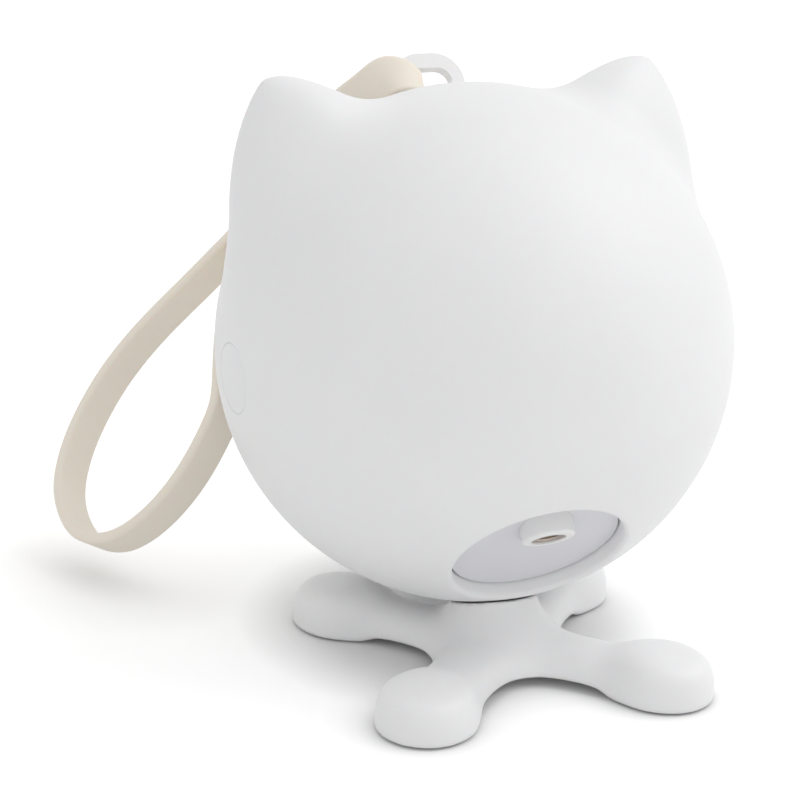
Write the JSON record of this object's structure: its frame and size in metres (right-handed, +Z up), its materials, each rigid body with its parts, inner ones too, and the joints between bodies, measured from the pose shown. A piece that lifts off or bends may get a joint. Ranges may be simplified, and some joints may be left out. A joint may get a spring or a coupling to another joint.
{
  "type": "automatic cat laser toy",
  "caption": "Round white cat-eared laser toy on a low cross-shaped stand, with a turning laser nozzle in a slanted window and a soft hanging strap.",
  "frame": {"origin": "on the ground, under the middle of the stand's cross of legs", "axes": "+Z up, the laser window looks to -Y and down, the power button is on the -X side"},
  "size_m": [0.122, 0.1165, 0.1103],
  "materials": {
    "white_shell": "satin",
    "stand_white": "satin",
    "button_white": "satin",
    "nozzle_white": "satin",
    "turntable_grey": "matte",
    "black_plastic": "matte",
    "natural_gear": "satin",
    "board_green": "satin",
    "cell_sleeve": "satin",
    "bare_steel": "satin",
    "plated_magnet": "polished",
    "brass": "satin",
    "lens_glass": "polished",
    "pad_rubber": "matte",
    "strap_silicone": "matte"
  },
  "bodies": {
    "stand": {"stand": "stand_white", "foot_pads": "pad_rubber", "magnet_cap": "stand_white"},
    "swivel": {"cup_magnet": "plated_magnet"},
    "head": {"front_shell": "white_shell", "rear_shell": "white_shell", "shell_screws": "bare_steel", "keeper": "bare_steel", "switch_board": "board_green", "tact_switch": "black_plastic", "battery_cell": "cell_sleeve", "cell_contacts": "bare_steel", "main_board": "board_green", "board_chips": "black_plastic", "board_screws": "bare_steel", "charging_socket": "bare_steel", "bearing_ring": "black_plastic", "spin_motor": "bare_steel", "gear_plate": "black_plastic", "idler_pin": "bare_steel", "mechanism_screws": "bare_steel", "strap": "strap_silicone"},
    "button": {"power_button": "button_white", "switch_plunger": "black_plastic"},
    "turntable": {"turntable": "turntable_grey", "ring_gear": "natural_gear", "laser_nozzle": "nozzle_white", "laser_module": "brass", "laser_lens": "lens_glass"},
    "idler": {"idler_gear": "natural_gear"},
    "motor_pinion": {"motor_pinion": "brass", "motor_shaft": "bare_steel"}
  },
  "joints": [
    {"name": "head_turn", "type": "hinge", "parent": "stand", "child": "swivel", "pos_m": [0, 0.019, 0.05836], "axis": [0, 0.3555, 0.9347], "range_deg": [-4, 75]},
    {"name": "head_tilt", "type": "hinge", "parent": "swivel", "child": "head", "pos_m": [0, 0.019, 0.05836], "axis": [1, 0, 0], "range_deg": [-3.5, 5]},
    {"name": "button_press", "type": "slide", "parent": "head", "child": "button", "axis": [0.9966, 0.0714, 0.0419], "range_m": [0, 0.0008], "stiffness_N_per_m": 900, "springref_m": -0.0012},
    {"name": "turntable_spin", "type": "hinge", "parent": "head", "child": "turntable", "pos_m": [0, 0.019, 0.05836], "axis": [0, -0.766, -0.6428], "range_deg": [-165, 165]},
    {"name": "idler_spin", "type": "hinge", "parent": "head", "child": "idler", "pos_m": [0, -0.02074, 0.05438], "axis": [0, -0.766, -0.6428], "range_deg": [-665, 665]},
    {"name": "motor_spin", "type": "hinge", "parent": "head", "child": "motor_pinion", "pos_m": [0.0105, -0.01844, 0.05631], "axis": [0, -0.766, -0.6428], "range_deg": [-1655, 1655]}
  ],
  "couplings": [
    {"joint": "idler_spin", "follows": "turntable_spin", "ratio": -4},
    {"joint": "motor_spin", "follows": "turntable_spin", "ratio": 10}
  ]
}
